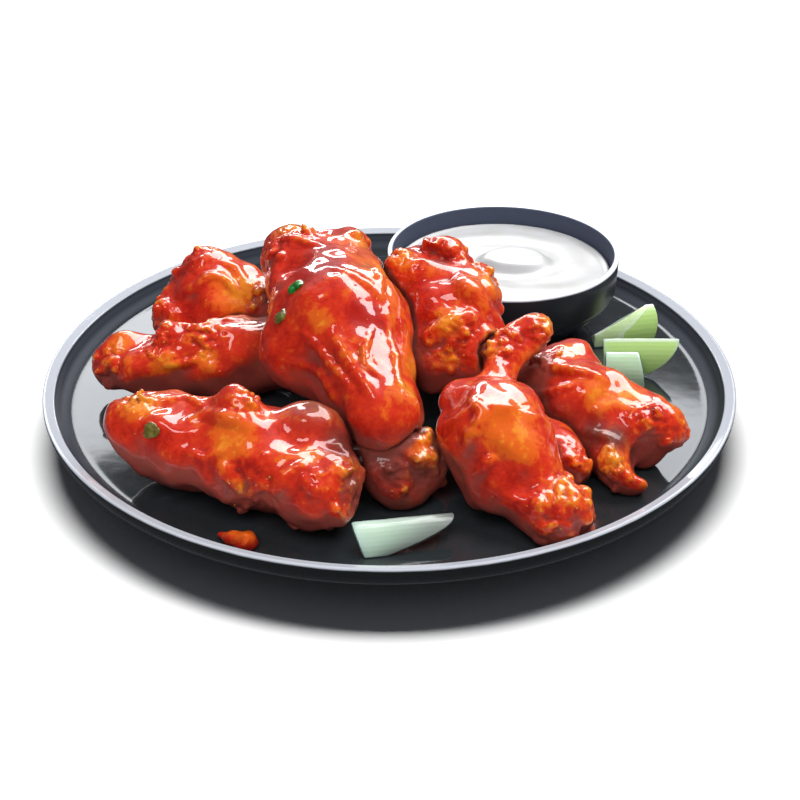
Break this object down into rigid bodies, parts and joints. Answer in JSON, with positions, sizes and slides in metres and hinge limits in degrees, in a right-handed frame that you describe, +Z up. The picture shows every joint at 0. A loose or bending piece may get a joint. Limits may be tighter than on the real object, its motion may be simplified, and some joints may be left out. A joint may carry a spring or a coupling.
{
  "type": "chicken wings serving",
  "caption": "Sauced chicken wings piled on a dark coupe plate with a bowl of cream dip, cut celery and a crumb of crust.",
  "frame": {"origin": "middle of the plate's foot, on the table", "axes": "+Z up; +X to the right and +Y to the back of the serving, where the dip bowl stands"},
  "size_m": [0.254, 0.254, 0.0705],
  "materials": {
    "plate_glaze": "near-black glossy glaze with a pale glazed lip",
    "bowl_glaze": "dark slate satin glaze with a pale rim",
    "cream_dip": "smooth white cream",
    "sauced_skin": "fried skin under a wet red-orange sauce",
    "celery_flesh": "moist ribbed green skin and pale cut flesh"
  },
  "bodies": {
    "root": {"plate": "plate_glaze", "dip_bowl": "bowl_glaze", "dip": "cream_dip", "flat_front_left": "sauced_skin", "flat_left": "sauced_skin", "drumette_back_left": "sauced_skin", "flat_right": "sauced_skin", "wing_under_front": "sauced_skin", "wing_under_right": "sauced_skin", "drumette_front": "sauced_skin", "drumette_centre": "sauced_skin", "drumette_top": "sauced_skin", "celery_back": "celery_flesh", "celery_right": "celery_flesh", "celery_end": "celery_flesh", "celery_front": "celery_flesh", "crust_crumb": "sauced_skin"}
  },
  "joints": []
}
